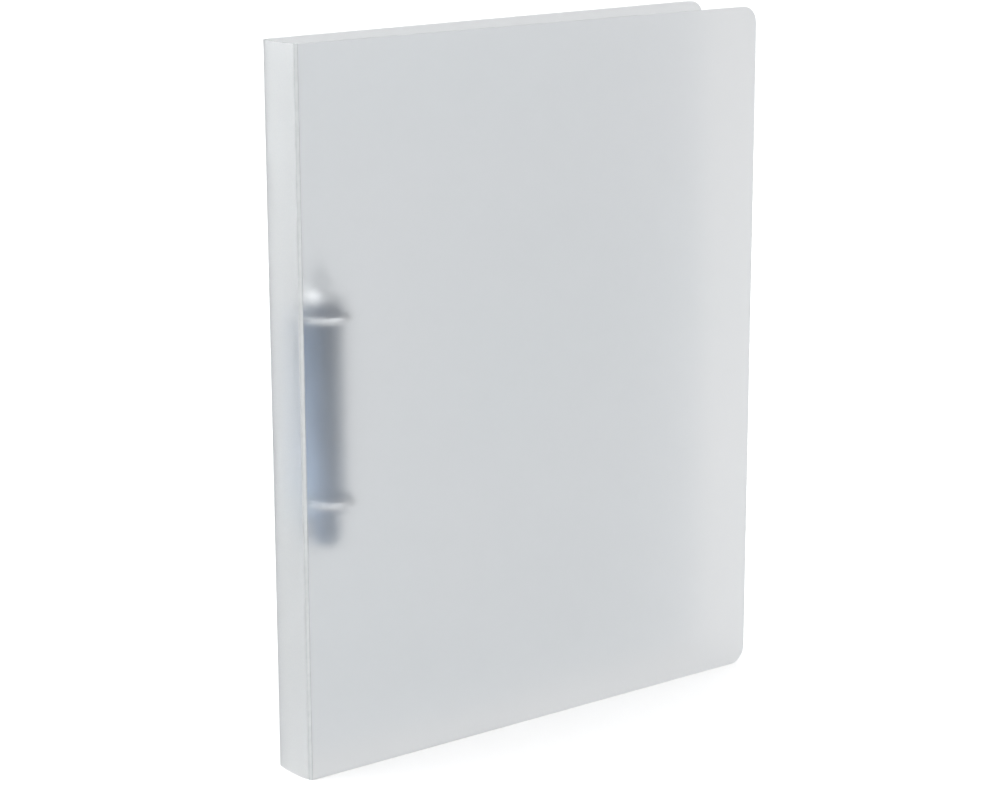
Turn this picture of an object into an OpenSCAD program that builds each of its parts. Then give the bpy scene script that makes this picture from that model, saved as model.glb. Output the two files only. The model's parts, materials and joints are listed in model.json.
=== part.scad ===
// Slim two-ring binder for A4 sheets. The case is one frosted sheet, creased into a front cover,
// a bowed spine and a back cover. A riveted steel ring mechanism with a thumb lever at its lower end
// sits inside the back cover.
//
// Frame: +X runs along the covers from the spine to the open edge, +Y from the front cover to the
// back cover, +Z up. The origin is at the middle of the base. Left and right in the mechanism are
// as seen with the binder lying open: left is the side next to the spine.

/* [Case] */
// Width of each cover, from its crease to the open edge
cover_width = 250; // [235:1:280]
// Height of the case
cover_height = 315; // [300:1:330]
// Width of the spine over the outside of both covers
spine_width = 24; // [24:1:40]
// Thickness of the sheet that the case is made from
sheet = 1.0; // [0.8:0.05:1.1]
// Angle by which each cover stands open from square to the spine
splay = 1.45; // [0.5:0.05:4]
// How far the middle of the spine bows outwards
spine_bow = 0.9; // [0.4:0.1:2]
// Radius of the two outer corners of each cover
corner_radius = 8; // [2:0.5:15]

/* [Creases] */
// Width of the thinned groove at each crease
groove_width = 1.6; // [1.5:0.1:2.5]
// Thickness of the web left in the groove
web_thickness = 0.4; // [0.3:0.05:0.45]
// Radius of the rounded bend line in the middle of the web
bead_radius = 0.3; // [0.25:0.01:0.32]
// Play between the bend line and the lip of the cover
bead_play = 0.05; // [0.03:0.01:0.08]

/* [Ring mechanism] */
// Distance between the two rings
ring_spacing = 80; // [76:1:80]
// Inner diameter of the rings
ring_bore = 16; // [15:0.5:16]
// Diameter of the ring wire
ring_wire = 2.8; // [2.4:0.1:3]
// Height of the ring centre above the cover that carries it
ring_centre = 9.2; // [9:0.1:9.4]
// Length of the top plate, over its riveted tabs
plate_length = 122; // [122:1:130]
// Width of the top plate
plate_width = 23; // [22.6:0.1:23.4]
// Height of the top plate's arch
plate_height = 7.2; // [7:0.1:7.4]
// Thickness of the top plate's steel
plate_gauge = 0.8; // [0.6:0.1:0.8]
// Width of the low tabs at both ends of the top plate
tab_width = 12; // [11:0.5:12]
// Distance from the back crease to the middle of the mechanism
plate_offset = 22.5; // [18:0.5:30]

/* [Blades] */
// Thickness of the two pressed blades that carry the rings
blade_gauge = 1.0; // [0.8:0.1:1]
// Slope of each blade while the rings are closed
blade_slope = 5.5; // [5.3:0.1:5.8]
// Height of the blades' outer edges, which they turn on
pivot_height = 2.05; // [2.05:0.05:2.3]

/* [Lever] */
// Width of the thumb tongue
thumb_width = 12; // [9:0.5:14]
// Length of the lever from its pin to the end of the thumb tongue
thumb_length = 16; // [14:0.5:18]
// Angle by which the lever stands off the cover while the rings are closed
thumb_rise = 10; // [9:0.5:11]

/* [Rivets] */
// Diameter of the rivet shanks
rivet_shank = 4; // [3:0.5:5]
// Diameter of the domed heads outside the back cover
rivet_head = 9; // [8:0.5:11]
// Diameter of the domed heads on the tabs
rivet_cap = 7; // [6:0.5:7.5]

/* [Hidden] */
$fn = 96;
cut = 1;                 // how far a cutting body runs past what it cuts
far = 40;                // side of the large cutting blocks

// Case
hinge_y = (spine_width - sheet) / 2;
half_groove = groove_width / 2;
cover_reach = cover_width * cos(splay) + sheet / 2 * sin(splay);
hinge_x = (spine_bow + sheet / 2 - cover_reach) / 2;
spine_half = hinge_y - half_groove;
spine_radius = (spine_half * spine_half + spine_bow * spine_bow) / (2 * spine_bow);

// Top plate
plate_half = plate_width / 2;
wall_height = 3.0;       // height at which the plate's upright sides turn into its arch
arch_rise = plate_height - wall_height;
arch_radius = (plate_half * plate_half + arch_rise * arch_rise) / (2 * arch_rise);
arch_end = ring_spacing / 2 + 7;
shoulder_radius = 1.5;   // roundness of the arch's four corners
tab_start = arch_end - 2.1;
rivet_z = plate_length / 2 - tab_width / 2;
end_tilt = 56;           // slope of the strip from the arch down to the upper tab
strip_top = plate_height - 0.05;
strip_start = arch_end - 0.3;
lip_width = 1.6;
lip_height = 1.1;
slot_inner = 5.9;        // distances from the middle line to the two ends of a ring slot
slot_outer = 10.5;
slot_width = ring_wire + 1.2;

// Blades and rings
pivot_x = plate_half - plate_gauge - blade_gauge / 2 - 0.3;
blade_width = (pivot_x - 0.25) / cos(blade_slope);
blade_length = ring_spacing + 5.2;
ring_radius = (ring_bore + ring_wire) / 2;
ring_foot = 40;          // angle below level at which a ring turns into its straight leg
leg_length = 3;
peg_radius = 0.9;
peg_place = 3.6;         // distance of a ring's peg from its blade's outer edge
peg_head = 1.25;
peg_head_height = 0.4;
peg_play = 0.02;
tip_gap = 0.1;
nub_length = 0.9;
nub_radius = 0.8;
nub_play = 0.15;

// Lever
pin_height = 4.6;
pin_z = arch_end - 2.1;
pin_radius = 0.8;
pin_play = 0.05;
knuckle_radius = 1.1;
knuckle_half = 4.2;
lever_gauge = 0.9;
ear_gauge = 0.8;
pin_half = knuckle_half + ear_gauge;
ear_gap = 0.2;           // play between an ear and the knuckle
ear_bottom = 3.4;
ear_height = 2.6;
ear_length = 2.8;
ear_inset = 0.6;         // distance of an ear from the end of the arch
pin_overrun = 0.6;       // how far the pin's hole runs past the ears, short of the arch
arm_start = 2.6;         // distance from the pin at which the lever turns as wide as the thumb
arm_overlap = 1;
finger_reach = 4.4;      // how far the finger under the blades reaches inwards from the pin
finger_top = 0.5;
finger_gauge = 0.4;
finger_start = 0.2;
finger_web = 0.8;        // thickness of the upright part of the finger
finger_half = 3;

// Rivets
rivet_play = 0.05;
head_height = 1.1;

// ---- Frames -----------------------------------------------------------------------------------

// Front cover's own frame: the crease is on Z, +X runs along the cover and +Y points inwards
module on_front() {
    translate([hinge_x, -hinge_y, 0]) rotate([0, 0, -splay]) children();
}

module on_back() {
    mirror([0, 1, 0]) on_front() children();
}

// Mechanism's frame: +X across it, +Y off the back cover's inner face, Z from its middle
module on_mechanism() {
    on_back() translate([plate_offset, sheet / 2, cover_height / 2]) children();
}

module both_ends() {
    children();
    mirror([0, 0, 1]) children();
}

// ---- Case -------------------------------------------------------------------------------------

// Cover panel with two round outer corners and the thin lip that meets the crease
module cover_sheet() {
    inner_width = cover_width - corner_radius - half_groove;
    rotate([90, 0, 0]) linear_extrude(sheet, center = true) {
        translate([half_groove, 0]) square([inner_width, cover_height]);
        translate([cover_width - corner_radius - cut, corner_radius])
            square([corner_radius + cut, cover_height - 2 * corner_radius]);
        for (z = [corner_radius, cover_height - corner_radius])
            translate([cover_width - corner_radius, z]) circle(corner_radius);
    }
    difference() {
        translate([0, -web_thickness / 2, 0]) cube([half_groove, web_thickness, cover_height]);
        translate([0, 0, -cut]) cylinder(r = bead_radius + bead_play, h = cover_height + 2 * cut);
    }
}

module front_cover() {
    color("gainsboro", 0.6) on_front() cover_sheet();
}

module back_cover() {
    color("gainsboro", 0.6) difference() {
        on_back() cover_sheet();
        on_mechanism() rivet_holes();
    }
}

// Bowed panel between the two creases
module spine() {
    color("whitesmoke", 0.6) intersection() {
        translate([hinge_x - spine_bow + spine_radius, 0, 0]) difference() {
            cylinder(r = spine_radius + sheet / 2, h = cover_height, $fn = 360);
            translate([0, 0, -cut])
                cylinder(r = spine_radius - sheet / 2, h = cover_height + 2 * cut, $fn = 360);
        }
        translate([hinge_x - far / 2, -spine_half, 0]) cube([far, 2 * spine_half, cover_height]);
    }
}

// Web of the front crease: a flat strip from the spine that ends in the rounded bend line
module crease_web() {
    translate([hinge_x, -hinge_y, 0]) {
        cylinder(r = bead_radius, h = cover_height);
        translate([-web_thickness / 2, 0, 0]) cube([web_thickness, half_groove, cover_height]);
    }
}

module front_hinge() {
    color("white", 0.6) crease_web();
}

module back_hinge() {
    color("white", 0.6) mirror([0, 1, 0]) crease_web();
}

// ---- Top plate --------------------------------------------------------------------------------

// Filled arch, shrunk by inset on all sides but the open base
module arch_block(inset) {
    base = inset > 0 ? -cut : 0;
    length = 2 * (arch_end + (inset > 0 ? cut : 0));
    intersection() {
        translate([inset - plate_half, base, -length / 2])
            cube([2 * (plate_half - inset), far, length]);
        translate([0, plate_height - arch_radius, -length / 2])
            cylinder(r = arch_radius - inset, h = length, $fn = 180);
    }
}

// Outline of the arch from above, with its round corners
module arch_plan() {
    round_x = plate_half - shoulder_radius;
    round_z = arch_end - shoulder_radius;
    square([2 * round_x, 2 * arch_end], center = true);
    square([plate_width, 2 * round_z], center = true);
    for (x = [-1, 1]) for (z = [-1, 1])
        translate([x * round_x, z * round_z]) circle(shoulder_radius);
}

// Outline of an end tab: a strip between the side walls, and the round-ended tab that is riveted down
module tab_plan() {
    intersection() {
        arch_plan();
        translate([-plate_half, tab_start]) square([plate_width, far]);
    }
    translate([-tab_width / 2, tab_start]) square([tab_width, rivet_z - tab_start]);
    translate([0, rivet_z]) circle(d = tab_width);
}

// Strip of the arch that is bent down to the upper tab
module end_strip() {
    intersection() {
        translate([0, strip_top, strip_start]) rotate([end_tilt, 0, 0])
            translate([0, -arch_radius, -plate_gauge]) difference() {
                cylinder(r = arch_radius, h = far, $fn = 180);
                translate([0, 0, -cut])
                    cylinder(r = arch_radius - plate_gauge, h = far + 2 * cut, $fn = 180);
            }
        translate([-tab_width / 2, 0, arch_end - plate_gauge]) cube([tab_width, plate_height, far]);
    }
}

module rivet_holes() {
    both_ends() translate([0, -sheet - cut, rivet_z]) rotate([-90, 0, 0])
        cylinder(r = rivet_shank / 2 + rivet_play, h = far);
}

// Inturned lip that a blade's outer edge rests over
module plate_lip() {
    length = 2 * (arch_end - shoulder_radius);
    translate([plate_half - plate_gauge - lip_width, 0, -length / 2])
        cube([lip_width + plate_gauge / 2, lip_height, length]);
}

// Ear under the arch that holds one end of the lever's pin
module lever_ear() {
    translate([knuckle_half + ear_gap, ear_bottom, ear_inset - arch_end])
        cube([ear_gauge, ear_height, ear_length]);
}

module top_plate() {
    color("silver") on_mechanism() difference() {
        union() {
            difference() {
                intersection() {
                    difference() {
                        arch_block(0);
                        arch_block(plate_gauge);
                    }
                    rotate([90, 0, 0]) linear_extrude(far, center = true) arch_plan();
                }
                for (side = [-1, 1]) for (z = [-1, 1])
                    translate([side * (slot_inner + slot_outer) / 2, 0, z * ring_spacing / 2])
                        cube([slot_outer - slot_inner, far, slot_width], center = true);
            }
            plate_lip();
            mirror([1, 0, 0]) plate_lip();
            both_ends() translate([0, plate_gauge, 0]) rotate([90, 0, 0])
                linear_extrude(plate_gauge) tab_plan();
            end_strip();
            lever_ear();
            mirror([1, 0, 0]) lever_ear();
        }
        rivet_holes();
        translate([0, pin_height, -pin_z]) rotate([0, 90, 0])
            cylinder(r = pin_radius + pin_play, h = 2 * (pin_half + pin_overrun), center = true);
    }
}

// ---- Blades and rings -------------------------------------------------------------------------

// Right blade's frame: its outer edge is on Z and the blade runs along -X
module on_blade() {
    translate([pivot_x, pivot_height, 0]) rotate([0, 0, blade_slope]) children();
}

module blade() {
    on_blade() difference() {
        union() {
            translate([-blade_width, -blade_gauge / 2, -blade_length / 2])
                cube([blade_width, blade_gauge, blade_length]);
            translate([0, 0, -blade_length / 2]) cylinder(d = blade_gauge, h = blade_length);
        }
        both_ends() translate([-peg_place, -blade_gauge, ring_spacing / 2]) rotate([-90, 0, 0])
            cylinder(r = peg_radius + peg_play, h = 2 * blade_gauge);
    }
}

// Right half of a ring: wire from the tip round to its blade, and the peg headed under the blade
module ring_half() {
    difference() {
        translate([0, ring_centre, 0]) {
            rotate([0, 0, -ring_foot]) rotate_extrude(angle = 90 + ring_foot)
                translate([ring_radius, 0]) circle(d = ring_wire);
            rotate([0, 0, -ring_foot]) translate([ring_radius, 0, 0]) rotate([90, 0, 0])
                cylinder(d = ring_wire, h = leg_length);
        }
        on_blade() translate([-far / 2, blade_gauge / 2 - far, -far / 2]) cube([far, far, far]);
        translate([-far + tip_gap / 2, 0, -far / 2]) cube([far, far, far]);
    }
    on_blade() translate([-peg_place, 0, 0]) rotate([90, 0, 0]) {
        translate([0, 0, -blade_gauge]) cylinder(r = peg_radius, h = 1.5 * blade_gauge + 0.1);
        translate([0, 0, blade_gauge / 2]) cylinder(r = peg_head, h = peg_head_height);
    }
}

// The socket in the right half's tip takes the nub on the left half's tip
module ring_right() {
    difference() {
        ring_half();
        translate([0, ring_centre + ring_radius, 0]) rotate([0, 90, 0])
            cylinder(r1 = nub_radius + nub_play, r2 = nub_radius / 2 + nub_play, h = nub_length + nub_play);
    }
}

module ring_left() {
    mirror([1, 0, 0]) ring_half();
    translate([-tip_gap / 2, ring_centre + ring_radius, 0]) rotate([0, 90, 0])
        cylinder(r1 = nub_radius, r2 = nub_radius / 2, h = nub_length);
}

module at_ring(end) {
    on_mechanism() translate([0, 0, end * ring_spacing / 2]) children();
}

module left_blade() {
    color("lightsteelblue") on_mechanism() mirror([1, 0, 0]) blade();
}

module right_blade() {
    color("lightsteelblue") on_mechanism() blade();
}

module upper_ring_left() {
    color("gainsboro") at_ring(1) ring_left();
}

module upper_ring_right() {
    color("darkgray") at_ring(1) ring_right();
}

module lower_ring_left() {
    color("gainsboro") at_ring(-1) ring_left();
}

module lower_ring_right() {
    color("darkgray") at_ring(-1) ring_right();
}

// ---- Lever ------------------------------------------------------------------------------------

// Thumb lever with its pin, knuckle and the finger that lies under the ends of both blades
module lever() {
    finger_y = finger_top - pin_height;
    color("silver") on_mechanism() translate([0, pin_height, -pin_z]) {
        rotate([0, 90, 0]) cylinder(r = pin_radius, h = 2 * pin_half, center = true);
        rotate([0, 90, 0]) cylinder(r = knuckle_radius, h = 2 * knuckle_half, center = true);
        rotate([90 + thumb_rise, 0, 0]) linear_extrude(lever_gauge, center = true) {
            translate([-knuckle_half, -arm_start - arm_overlap])
                square([2 * knuckle_half, arm_start + arm_overlap]);
            translate([-thumb_width / 2, thumb_width / 2 - thumb_length])
                square([thumb_width, thumb_length - thumb_width / 2 - arm_start]);
            translate([0, thumb_width / 2 - thumb_length]) circle(d = thumb_width);
        }
        translate([-finger_half, finger_y - finger_gauge, finger_start]) {
            cube([2 * finger_half, finger_gauge - finger_y, finger_web]);
            cube([2 * finger_half, finger_gauge, finger_reach - finger_start]);
        }
    }
}

// ---- Rivets -----------------------------------------------------------------------------------

// Domed head of the given diameter, standing on the level y = 0
module dome(diameter) {
    radius = (diameter * diameter / 4 + head_height * head_height) / (2 * head_height);
    intersection() {
        translate([0, head_height - radius, 0]) sphere(radius, $fn = 120);
        translate([-far / 2, 0, -far / 2]) cube([far, far, far]);
    }
}

module rivet() {
    translate([0, plate_gauge, 0]) dome(rivet_cap);
    translate([0, -sheet, 0]) mirror([0, 1, 0]) dome(rivet_head);
    translate([0, -sheet - head_height / 4, 0]) rotate([-90, 0, 0])
        cylinder(d = rivet_shank, h = sheet + plate_gauge + head_height / 2);
}

module rivets() {
    color("silver") on_mechanism() both_ends() translate([0, 0, rivet_z]) rivet();
}

front_cover();
back_cover();
spine();
front_hinge();
back_hinge();
top_plate();
left_blade();
right_blade();
upper_ring_left();
upper_ring_right();
lower_ring_left();
lower_ring_right();
lever();
rivets();
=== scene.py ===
"""Looks of the ring binder: frosted sheets, living hinges, nickel ring mechanism and a white studio."""
import json
import math

import bmesh
import bpy
from mathutils import Matrix, Vector


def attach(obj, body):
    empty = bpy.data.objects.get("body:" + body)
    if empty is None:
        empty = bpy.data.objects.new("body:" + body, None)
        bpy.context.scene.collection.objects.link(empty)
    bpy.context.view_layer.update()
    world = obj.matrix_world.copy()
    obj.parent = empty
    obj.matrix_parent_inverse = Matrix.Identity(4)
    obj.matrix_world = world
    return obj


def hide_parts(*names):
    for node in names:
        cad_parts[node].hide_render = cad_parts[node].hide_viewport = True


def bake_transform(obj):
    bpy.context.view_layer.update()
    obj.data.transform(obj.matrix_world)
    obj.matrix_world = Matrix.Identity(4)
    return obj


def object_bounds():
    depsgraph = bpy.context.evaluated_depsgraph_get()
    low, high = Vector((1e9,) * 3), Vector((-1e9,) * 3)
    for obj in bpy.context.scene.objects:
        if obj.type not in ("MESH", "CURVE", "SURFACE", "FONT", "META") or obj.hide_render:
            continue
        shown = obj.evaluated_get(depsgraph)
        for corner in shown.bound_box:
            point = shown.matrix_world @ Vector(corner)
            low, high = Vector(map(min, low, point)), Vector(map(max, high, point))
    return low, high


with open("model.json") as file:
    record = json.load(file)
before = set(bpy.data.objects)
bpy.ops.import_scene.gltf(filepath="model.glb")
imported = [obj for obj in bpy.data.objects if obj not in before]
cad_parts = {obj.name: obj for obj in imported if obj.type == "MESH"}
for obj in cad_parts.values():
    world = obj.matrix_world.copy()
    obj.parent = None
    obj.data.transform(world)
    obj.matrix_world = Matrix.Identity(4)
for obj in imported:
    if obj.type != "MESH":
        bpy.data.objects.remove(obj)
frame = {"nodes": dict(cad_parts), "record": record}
CAD_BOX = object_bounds()

MM = 0.001

# Driving sizes, in metres, and the two crease lines, which come from the frame
SHEET = 1.0 * MM
SPLAY = math.radians(1.45)
GROOVE = 1.6 * MM
WEB = 0.4 * MM
SPINE_BOW = 0.9 * MM
CORNER_RADIUS = 8.0 * MM
COVER_WIDTH = 250.0 * MM
EDGE_ROUND = 0.16 * MM
CREASE_ROUND = 0.03 * MM
JOINT_GAP = 0.03 * MM
HEIGHT = CAD_BOX[1].z

# Studio: the even part of the sky, and its strength as the camera sees it
SKY_BASE = 0.56
SKY_SEEN = 1.2
# Soft sky lights: direction, the angles in degrees at which the light is full and gone, and strength
SKY_LIGHTS = [
    ((0.0, 0.0, 1.0), 8.0, 50.0, 2.2),
    ((-0.6, -0.5, 0.55), 10.0, 45.0, 0.4),
    ((-0.6, 0.8, 0.15), 5.0, 78.0, 0.7),
]
# Softboxes: name, place, aim, side and power
SOFTBOXES = [
    ("back_softbox", (-0.5, 0.6, 0.6), (0.0, 0.45, 0.0), 0.5, 2.5),
]
# Painted light on the plate by height: a painted dark reflection where the arch mirrors the shade of the
# case, and a painted highlight on the upper tab
PLATE_PAINTED_LIGHT = [
    (0.112, (0.27, 0.335, 0.43)),
    (0.196, (0.09, 0.13, 0.19)),
    (0.202, (0.12, 0.15, 0.20)),
    (0.2045, (0.76, 0.775, 0.79)),
]
# The floor as it lights the object, and as the camera sees it
FLOOR_ALBEDO = (0.12, 0.8)
FLOOR_GLOW = (0.64, 0.14)

CREASES = {joint["name"]: Vector(joint["pos_m"]) for joint in frame["record"]["behaviour"]["joints"]}


# The plate's edge next to the spine, its middle, and how much lighter the painted light makes it at that
# edge, the side that faces the light
PLATE_SIDE = CREASES["back_crease"].x + 11.0 * MM
PLATE_MIDDLE = CREASES["back_crease"].x + 22.5 * MM
SIDE_PAINTED_LIGHT = 3.0


# ---- Camera, light and stage --------------------------------------------------------------------

def aim_camera():
    position = Vector((-0.7313, -0.8958, 0.4338))
    yaw, pitch, roll = math.radians(51.17), math.radians(-13.965), math.radians(-0.14)
    forward = Vector((math.cos(pitch) * math.cos(yaw), math.cos(pitch) * math.sin(yaw), math.sin(pitch)))
    data = bpy.data.cameras.new("camera")
    data.sensor_width = 36.0
    data.lens = 95.91
    data.clip_start, data.clip_end = 0.05, 60.0
    camera = bpy.data.objects.new("camera", data)
    bpy.context.scene.collection.objects.link(camera)
    level = forward.to_track_quat("-Z", "Y").to_matrix().to_4x4()
    camera.matrix_world = Matrix.Translation(position) @ level @ Matrix.Rotation(roll, 4, "Z")
    bpy.context.scene.camera = camera


def add_softbox(name, position, target, side, power):
    """Large square light close to the object, which falls off over it as a far light would not."""
    data = bpy.data.lights.new(name, "AREA")
    data.size = side
    data.energy = power
    light = bpy.data.objects.new(name, data)
    light.location = position
    light.rotation_euler = (Vector(target) - Vector(position)).to_track_quat("-Z", "Y").to_euler()
    bpy.context.scene.collection.objects.link(light)


def sky_strength(world):
    """Strength of the sky in each direction: an even part and the soft lights on top of it."""
    nodes, links = world.node_tree.nodes, world.node_tree.links
    place = nodes.new("ShaderNodeTexCoord")
    total = None
    for direction, narrow, wide, strength in SKY_LIGHTS:
        aim = nodes.new("ShaderNodeVectorMath")
        aim.operation = "DOT_PRODUCT"
        aim.inputs[1].default_value = Vector(direction).normalized()
        links.new(place.outputs["Generated"], aim.inputs[0])
        ramp = nodes.new("ShaderNodeMapRange")
        ramp.interpolation_type = "SMOOTHSTEP"
        ramp.inputs["From Min"].default_value = math.cos(math.radians(wide))
        ramp.inputs["From Max"].default_value = math.cos(math.radians(narrow))
        ramp.inputs["To Min"].default_value = 0.0
        ramp.inputs["To Max"].default_value = strength
        links.new(aim.outputs["Value"], ramp.inputs["Value"])
        if total is None:
            total = ramp.outputs["Result"]
        else:
            add = nodes.new("ShaderNodeMath")
            links.new(total, add.inputs[0])
            links.new(ramp.outputs["Result"], add.inputs[1])
            total = add.outputs["Value"]
    base = nodes.new("ShaderNodeMath")
    base.inputs[1].default_value = SKY_BASE
    links.new(total, base.inputs[0])
    return base.outputs["Value"]


def light_stage():
    world = bpy.data.worlds.new("studio")
    bpy.context.scene.world = world
    world.use_nodes = True
    background = world.node_tree.nodes["Background"]
    background.inputs["Color"].default_value = (1.0, 1.0, 1.0, 1.0)
    path = world.node_tree.nodes.new("ShaderNodeLightPath")
    seen = world.node_tree.nodes.new("ShaderNodeMix")
    seen.inputs["B"].default_value = SKY_SEEN
    world.node_tree.links.new(path.outputs["Is Camera Ray"], seen.inputs["Factor"])
    world.node_tree.links.new(sky_strength(world), seen.inputs["A"])
    world.node_tree.links.new(seen.outputs["Result"], background.inputs["Strength"])

    mesh = bpy.data.meshes.new("floor")
    side = 30.0
    corners = [(-side, -side, 0), (side, -side, 0), (side, side, 0), (-side, side, 0)]
    mesh.from_pydata(corners, [], [(0, 1, 2, 3)])
    floor = bpy.data.objects.new("floor", mesh)
    bpy.context.scene.collection.objects.link(floor)
    material = bpy.data.materials.new("white_floor")
    material.use_nodes = True
    shader = material.node_tree.nodes["Principled BSDF"]
    shader.inputs["Roughness"].default_value = 0.9
    shader.inputs["Specular IOR Level"].default_value = 0.0
    shader.inputs["Emission Color"].default_value = (1.0, 1.0, 1.0, 1.0)
    path = material.node_tree.nodes.new("ShaderNodeLightPath")
    for socket, (lighting, seen) in (("Base Color", FLOOR_ALBEDO), ("Emission Strength", FLOOR_GLOW)):
        choice = material.node_tree.nodes.new("ShaderNodeMapRange")
        choice.inputs["To Min"].default_value = lighting
        choice.inputs["To Max"].default_value = seen
        material.node_tree.links.new(path.outputs["Is Camera Ray"], choice.inputs["Value"])
        material.node_tree.links.new(choice.outputs["Result"], shader.inputs[socket])
    mesh.materials.append(material)
    for light in SOFTBOXES:
        add_softbox(*light)


# ---- Materials ----------------------------------------------------------------------------------

def new_material(name, **sockets):
    material = bpy.data.materials.new(name)
    material.use_nodes = True
    shader = material.node_tree.nodes["Principled BSDF"]
    for socket, value in sockets.items():
        shader.inputs[socket.replace("_", " ")].default_value = value
    return material, shader


def add_node(material, kind, **settings):
    node = material.node_tree.nodes.new(kind)
    for name, value in settings.items():
        if name in node.inputs:
            node.inputs[name].default_value = value
        else:
            setattr(node, name, value)
    return node


def link(material, source, target):
    material.node_tree.links.new(source, target)


def noise(material, scale, detail=2.0, roughness=0.5):
    place = add_node(material, "ShaderNodeTexCoord")
    node = add_node(material, "ShaderNodeTexNoise", Scale=scale, Detail=detail, Roughness=roughness)
    link(material, place.outputs["Object"], node.inputs["Vector"])
    return node.outputs["Fac"]


def spread(material, source, low, high):
    node = add_node(material, "ShaderNodeMapRange")
    node.inputs["From Min"].default_value = 0.3
    node.inputs["From Max"].default_value = 0.7
    node.inputs["To Min"].default_value = low
    node.inputs["To Max"].default_value = high
    link(material, source, node.inputs["Value"])
    return node.outputs["Result"]


def two_tones(material, source, first, second):
    ramp = add_node(material, "ShaderNodeValToRGB")
    ramp.color_ramp.elements[0].position = 0.35
    ramp.color_ramp.elements[0].color = (*first, 1.0)
    ramp.color_ramp.elements[1].position = 0.65
    ramp.color_ramp.elements[1].color = (*second, 1.0)
    link(material, source, ramp.inputs["Fac"])
    return ramp.outputs["Color"]


def object_axis(material, axis):
    place = add_node(material, "ShaderNodeTexCoord")
    split = add_node(material, "ShaderNodeSeparateXYZ")
    link(material, place.outputs["Object"], split.inputs["Vector"])
    return split.outputs[axis]


def painted_height_light(material, stops):
    """Painted light by height above the floor: stops of height in metres and colour, lowest first."""
    height = add_node(material, "ShaderNodeMapRange")
    height.inputs["From Max"].default_value = HEIGHT
    link(material, object_axis(material, "Z"), height.inputs["Value"])
    ramp = add_node(material, "ShaderNodeValToRGB")
    elements = ramp.color_ramp.elements
    while len(elements) < len(stops):
        elements.new(0.5)
    for element, (z, tone) in zip(elements, stops):
        element.position = z / HEIGHT
        element.color = (*tone, 1.0)
    link(material, height.outputs["Result"], ramp.inputs["Fac"])
    return ramp.outputs["Color"]


def painted_side_light(material):
    """Painted light over the width of the plate: a factor high next to the spine, 1 from the middle on."""
    side = add_node(material, "ShaderNodeMapRange")
    side.inputs["From Min"].default_value = PLATE_SIDE
    side.inputs["From Max"].default_value = PLATE_MIDDLE
    side.inputs["To Min"].default_value = SIDE_PAINTED_LIGHT
    side.inputs["To Max"].default_value = 1.0
    link(material, object_axis(material, "X"), side.inputs["Value"])
    return side.outputs["Result"]


def multiply(material, first, second):
    mix = add_node(material, "ShaderNodeMix", data_type="RGBA", blend_type="MULTIPLY", clamp_result=True)
    mix.inputs[0].default_value = 1.0
    link(material, first, mix.inputs[6])
    link(material, second, mix.inputs[7])
    return mix.outputs[2]


def add_bump(material, shader, height, strength, distance):
    bump = add_node(material, "ShaderNodeBump", Strength=strength, Distance=distance)
    link(material, height, bump.inputs["Height"])
    link(material, bump.outputs["Normal"], shader.inputs["Normal"])


def frosted_cover():
    material, shader = new_material("frosted_cover", Transmission_Weight=0.95, IOR=1.49)
    tone = two_tones(material, noise(material, 9.0), (0.955, 0.975, 0.99), (0.965, 0.98, 0.995))
    link(material, tone, shader.inputs["Base Color"])
    link(material, spread(material, noise(material, 900.0), 0.34, 0.40), shader.inputs["Roughness"])
    add_bump(material, shader, noise(material, 3500.0), 0.12, 0.00004)
    return material


def frosted_spine():
    material, shader = new_material("frosted_spine", Transmission_Weight=0.88, IOR=1.49)
    tone = two_tones(material, noise(material, 2200.0), (0.90, 0.92, 0.93), (0.96, 0.97, 0.975))
    link(material, tone, shader.inputs["Base Color"])
    link(material, spread(material, noise(material, 1800.0), 0.5, 0.66), shader.inputs["Roughness"])
    add_bump(material, shader, noise(material, 2400.0, 3.0), 0.5, 0.00012)
    return material


def crease_plastic():
    material, shader = new_material("crease_plastic", IOR=1.49)
    tone = two_tones(material, noise(material, 300.0), (0.66, 0.685, 0.695), (0.71, 0.735, 0.745))
    link(material, tone, shader.inputs["Base Color"])
    link(material, spread(material, noise(material, 1200.0), 0.40, 0.50), shader.inputs["Roughness"])
    return material


def nickel(name, first, second, rough_low, rough_high, stops=None):
    """Nickel plating in two cloudy tones; the stops, where given, paint a dark reflection and a highlight on
    it by height, and a painted lighter side across the plate.
    """
    material, shader = new_material(name, Metallic=1.0)
    tone = two_tones(material, noise(material, 60.0), first, second)
    if stops is not None:
        tone = multiply(material, tone, painted_height_light(material, stops))
        tone = multiply(material, tone, painted_side_light(material))
    link(material, tone, shader.inputs["Base Color"])
    roughness = spread(material, noise(material, 700.0), rough_low, rough_high)
    link(material, roughness, shader.inputs["Roughness"])
    add_bump(material, shader, noise(material, 500.0), 0.04, 0.00005)
    return material


# ---- Meshes -------------------------------------------------------------------------------------

def add_piece(name, mesh, material):
    mesh.materials.append(material)
    mesh.polygons.foreach_set("use_smooth", [True] * len(mesh.polygons))
    piece = bpy.data.objects.new(name, mesh)
    bpy.context.scene.collection.objects.link(piece)
    normals = piece.modifiers.new("normals", "WEIGHTED_NORMAL")
    normals.weight = 100
    return piece


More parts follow.
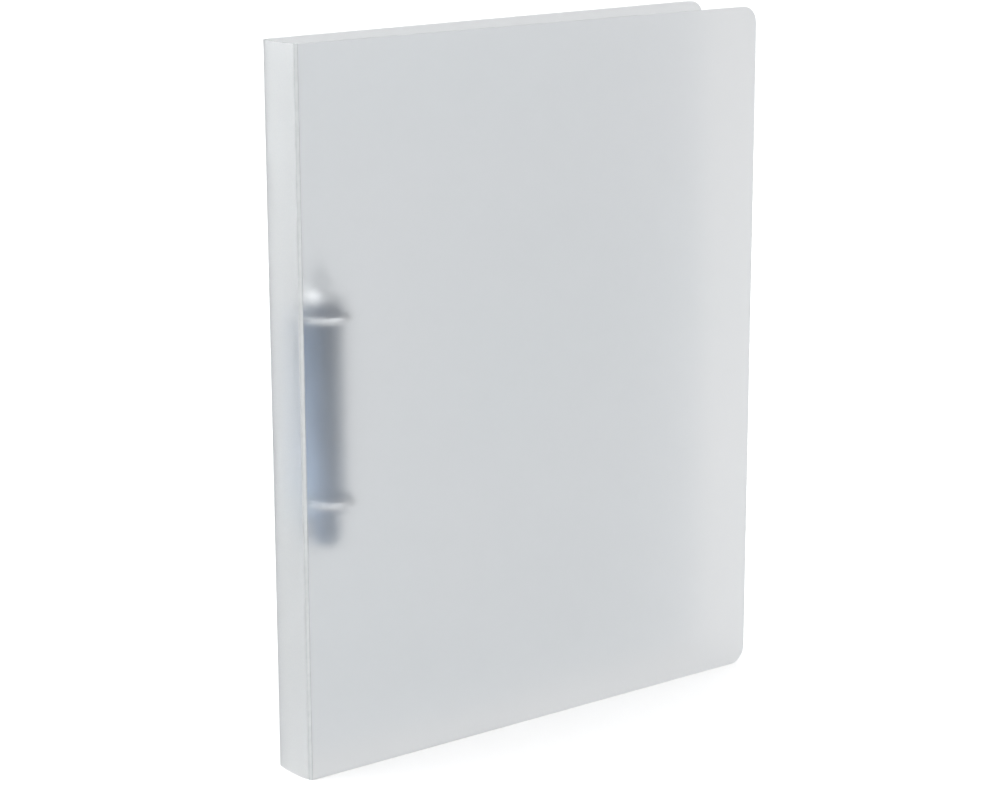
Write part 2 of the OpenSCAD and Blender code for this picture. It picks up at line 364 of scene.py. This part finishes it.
def slab(name, outline, half_depth, place, rounding):
    """A sheet or bar with rounded edges: the outline lies in the local X-Z plane, the depth runs along Y."""
    work = bmesh.new()
    face = work.faces.new([work.verts.new((x, -half_depth, z)) for x, z in outline])
    swept = bmesh.ops.extrude_face_region(work, geom=[face])
    moved = [v for v in swept["geom"] if isinstance(v, bmesh.types.BMVert)]
    bmesh.ops.translate(work, verts=moved, vec=(0, 2 * half_depth, 0))
    rims = [e for e in work.edges if abs(e.verts[0].co.y - e.verts[1].co.y) < half_depth]
    bmesh.ops.bevel(work, geom=rims, offset=rounding, segments=3, profile=0.5, affect="EDGES")
    bmesh.ops.recalc_face_normals(work, faces=work.faces)
    work.transform(place)
    if place.determinant() < 0:
        bmesh.ops.reverse_faces(work, faces=work.faces)
    mesh = bpy.data.meshes.new(name)
    work.to_mesh(mesh)
    work.free()
    return mesh


def cover_outline():
    """Panel from the groove to the open edge, with its two outer corners round."""
    near = GROOVE / 2 + JOINT_GAP
    centre_x = COVER_WIDTH - CORNER_RADIUS
    points = [(near, 0.0)]
    steps = 16
    for centre_z, start in ((CORNER_RADIUS, -90), (HEIGHT - CORNER_RADIUS, 0)):
        for i in range(steps + 1):
            angle = math.radians(start + 90 * i / steps)
            x = centre_x + CORNER_RADIUS * math.cos(angle)
            points.append((x, centre_z + CORNER_RADIUS * math.sin(angle)))
    points.append((near, HEIGHT))
    return points


def cover_place(joint):
    """From a cover's own frame, with its crease on Z, to the row frame; the back cover is mirrored."""
    crease = CREASES[joint]
    inward = 1 if crease.y < 0 else -1
    turn = Matrix.Rotation(-inward * SPLAY, 4, "Z")
    mirror = Matrix.Diagonal((1, inward, 1, 1))
    return Matrix.Translation((crease.x, crease.y, 0)) @ turn @ mirror


def add_cover(name, node, joint, body, material):
    piece = add_piece(name, slab(name, cover_outline(), SHEET / 2, cover_place(joint), EDGE_ROUND), material)
    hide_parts(node)
    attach(piece, body)
    return piece


def strip(name, section, rounding):
    """A bar along Z over the height of the case, with the given cross-section as seen from above."""
    upright = Matrix(((1, 0, 0, 0), (0, 0, 1, 0), (0, 1, 0, HEIGHT / 2), (0, 0, 0, 1)))
    return slab(name, section, HEIGHT / 2, upright, rounding)


def spine_section():
    """Bowed band between the two grooves, seen from above."""
    crease = CREASES["front_crease"]
    half = abs(crease.y) - GROOVE / 2 - JOINT_GAP
    radius = (half * half + SPINE_BOW * SPINE_BOW) / (2 * SPINE_BOW)
    centre_x = crease.x - SPINE_BOW + radius
    reach = math.asin(half / radius)
    steps = 24
    def arc(r, turn):
        angles = [reach * (2 * i / steps - 1) * turn for i in range(steps + 1)]
        return [(centre_x - r * math.cos(a), r * math.sin(a)) for a in angles]
    return arc(radius + SHEET / 2, 1) + arc(radius - SHEET / 2, -1)


def crease_section(joint):
    """Web of a living hinge: an arc between the spine and the cover, thin in the middle."""
    crease = CREASES[joint]
    inward = 1 if crease.y < 0 else -1
    reach = GROOVE / 2 - JOINT_GAP / 2
    steps = 14
    outer, inner = [], []
    for i in range(steps + 1):
        t = i / steps
        angle = math.radians(180 + 90 * t)
        half = WEB / 2 + (SHEET - WEB) / 2 * abs(2 * t - 1) ** 2.2
        for points, r in ((outer, reach + half), (inner, reach - half)):
            x = crease.x + reach + r * math.cos(angle)
            points.append((x, crease.y + inward * (reach + r * math.sin(angle))))
    return outer + inner[::-1]


def add_crease(name, node, joint, material):
    piece = add_piece(name, strip(name, crease_section(joint), CREASE_ROUND), material)
    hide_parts(node)
    if joint == "front_crease":
        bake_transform(piece)
    else:
        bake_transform(piece)


# ---- Building -----------------------------------------------------------------------------------

aim_camera()
light_stage()

COVER = frosted_cover()
SPINE = frosted_spine()
CREASE = crease_plastic()

add_cover("front_panel", "front_cover", "front_crease", "front", COVER)
add_cover("back_panel", "back_cover", "back_crease", "back", COVER)

spine_piece = add_piece("spine_panel", strip("spine_panel", spine_section(), EDGE_ROUND), SPINE)
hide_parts("spine")
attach(spine_piece, "spine")

add_crease("front_crease_web", "front_hinge", "front_crease", CREASE)
add_crease("back_crease_web", "back_hinge", "back_crease", CREASE)

METALS = {
    # The plate's nickel carries painted light: a painted dark reflection on the arch, a painted highlight on
    # the upper tab and a painted lighter side next to the spine
    "plate_nickel": nickel("plate_nickel", (0.88, 0.88, 0.88), (1.0, 1.0, 1.0), 0.22, 0.30, PLATE_PAINTED_LIGHT),
    "blade_steel": nickel("blade_steel", (0.42, 0.44, 0.46), (0.50, 0.52, 0.54), 0.30, 0.38),
    "ring_nickel": nickel("ring_nickel", (0.93, 0.935, 0.94), (0.97, 0.97, 0.975), 0.07, 0.11),
    "rivet_nickel": nickel("rivet_nickel", (0.86, 0.87, 0.88), (0.90, 0.91, 0.92), 0.14, 0.2),
}
for row in frame["record"]["subparts"]:
    if row["material_slot"] in METALS:
        node = frame["nodes"][row["node"]]
        node.data.materials.clear()
        node.data.materials.append(METALS[row["material_slot"]])

bpy.context.scene.view_settings.view_transform = "Standard"
bpy.context.scene.cycles.max_bounces = 24
bpy.context.scene.cycles.transmission_bounces = 20
bpy.context.scene.cycles.use_denoising = True
